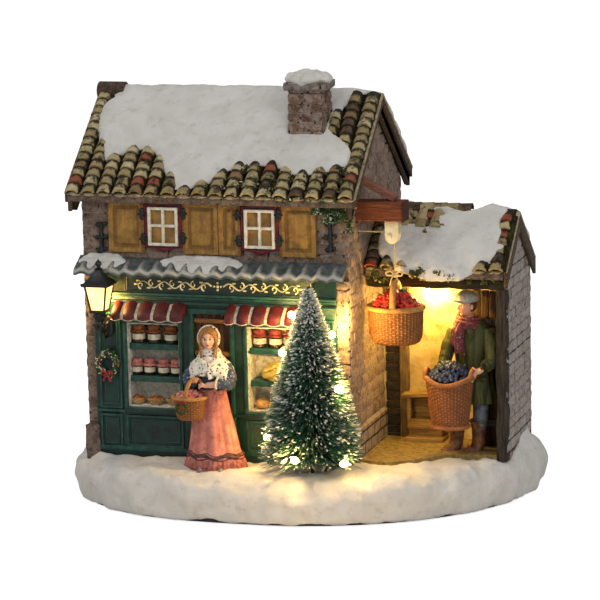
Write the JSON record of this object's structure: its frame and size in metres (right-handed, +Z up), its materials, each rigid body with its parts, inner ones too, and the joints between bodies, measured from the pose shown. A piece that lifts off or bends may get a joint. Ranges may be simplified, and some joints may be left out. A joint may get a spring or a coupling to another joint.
{
  "type": "christmas village shop",
  "caption": "Lit winter village shop on a snow base, with an open shed, two figures, a trimmed tree with lamps and a basket on a working hoist.",
  "frame": {"origin": "the middle of the underside of the snow base, on the bottom plate that the part stands on", "axes": "+X along the shop front towards the open shed, +Y from the shop front to the back wall, +Z up"},
  "size_m": [0.2014, 0.129, 0.1844],
  "materials": {
    "snow": "cast resin, painted white with a fine sandy grit",
    "stone": "cast resin, painted as brown stone with dark joints",
    "plaster": "cast resin, painted as warm rough plaster",
    "tile": "cast resin, painted as ochre and red barrel tiles",
    "green": "cast resin, satin dark green paint",
    "slate": "cast resin, painted as grey slate",
    "awning_red": "cast resin, painted dark red with thin white stripes",
    "ochre": "cast resin, painted as worn ochre boards",
    "window_red": "moulded frame, dark red with white bars and a lit pane",
    "cream": "moulded case, cream, with painted goods",
    "dark_wood": "cast resin, painted as dark boards",
    "brown_wood": "cast resin, painted as red-brown wood",
    "grey_wood": "cast resin, painted as weathered wood",
    "paving": "cast resin, painted as small cobbles",
    "lantern_black": "die-cast, satin black paint",
    "lantern_glow": "clear lens, lit from inside",
    "figure_skirt": "cast resin, salmon paint",
    "figure_blouse": "cast resin, dark blue paint",
    "figure_shawl": "cast resin, white paint with dark dots",
    "figure_skin": "cast resin, skin-tone paint",
    "figure_coat": "cast resin, olive paint",
    "figure_trousers": "cast resin, grey-blue paint",
    "basket": "cast resin, painted as wicker",
    "bristle": "fine green bristles with white tips",
    "wire": "dark green insulated wire with small lamps",
    "white_plastic": "moulded, satin off-white",
    "thread": "twisted tan thread",
    "case_black": "moulded, black, fine grain",
    "steel": "bare switch lever"
  },
  "bodies": {
    "shop": {"awning_left": "awning_red", "awning_right": "awning_red", "battery_case": "case_black", "bottom_plate": "case_black", "chimney": "stone", "chimney_snow": "snow", "display_left": "cream", "display_right": "cream", "gable_left": "stone", "gable_right": "stone", "gear_motor": "case_black", "hoist_beam": "brown_wood", "hoist_thread": "thread", "inner_door": "dark_wood", "lantern_frame": "lantern_black", "lantern_glass": "lantern_glow", "ledge_snow": "snow", "light_string": "wire", "main_roof": "tile", "man_basket": "basket", "man_coat": "figure_coat", "man_head": "figure_skin", "man_legs": "figure_trousers", "open_door": "dark_wood", "paving": "paving", "pulley_bracket": "white_plastic", "roof_snow": "snow", "shed_back": "plaster", "shed_lintel": "dark_wood", "shed_post": "grey_wood", "shed_roof": "tile", "shed_snow": "snow", "shed_wall_right": "stone", "shop_door": "dark_wood", "shopfront": "green", "shutter_left": "ochre", "shutter_pair": "ochre", "shutter_right": "ochre", "sign_board": "green", "slate_ledge": "slate", "snow_base": "snow", "step_and_crate": "brown_wood", "tree": "bristle", "wall_back": "stone", "wall_front": "stone", "window_left": "window_red", "window_right": "window_red", "woman_basket": "basket", "woman_head": "figure_skin", "woman_shawl": "figure_shawl", "woman_skirt": "figure_skirt", "woman_top": "figure_blouse", "wreath": "bristle"},
    "lift": {"hang_thread": "thread", "thread_knot": "thread"},
    "basket": {"hanging_basket": "basket"},
    "pulley": {"pulley_wheel": "white_plastic"},
    "drum": {"winding_drum": "white_plastic"},
    "battery_hatch": {"battery_door": "case_black"},
    "switch": {"switch_slider": "steel"}
  },
  "joints": [
    {"name": "basket_lift", "type": "slide", "parent": "shop", "child": "lift", "axis": [0, 0, 1], "range_m": [-0.014, 0.004], "deforming": ["hang_thread"]},
    {"name": "basket_swing", "type": "hinge", "parent": "lift", "child": "basket", "pos_m": [0.0465, -0.0145, 0.0991], "axis": [0, 1, 0], "range_deg": [-8, 8]},
    {"name": "pulley_turn", "type": "hinge", "parent": "shop", "child": "pulley", "pos_m": [0.0448, -0.0145, 0.1158], "axis": [0, 1, 0], "range_deg": [-140, 480]},
    {"name": "drum_turn", "type": "hinge", "parent": "shop", "child": "drum", "pos_m": [0.0165, -0.0145, 0.1128], "axis": [0, 1, 0], "range_deg": [-55, 175]},
    {"name": "hatch_swing", "type": "hinge", "parent": "shop", "child": "battery_hatch", "pos_m": [-0.043, 0.031, 0.0012], "axis": [1, 0, 0], "range_deg": [0, 85]},
    {"name": "switch_slide", "type": "slide", "parent": "shop", "child": "switch", "axis": [1, 0, 0], "range_m": [0, 0.003]}
  ],
  "couplings": [
    {"joint": "pulley_turn", "follows": "basket_lift", "rad_per_m": -588.24},
    {"joint": "drum_turn", "follows": "basket_lift", "rad_per_m": -212.77}
  ]
}
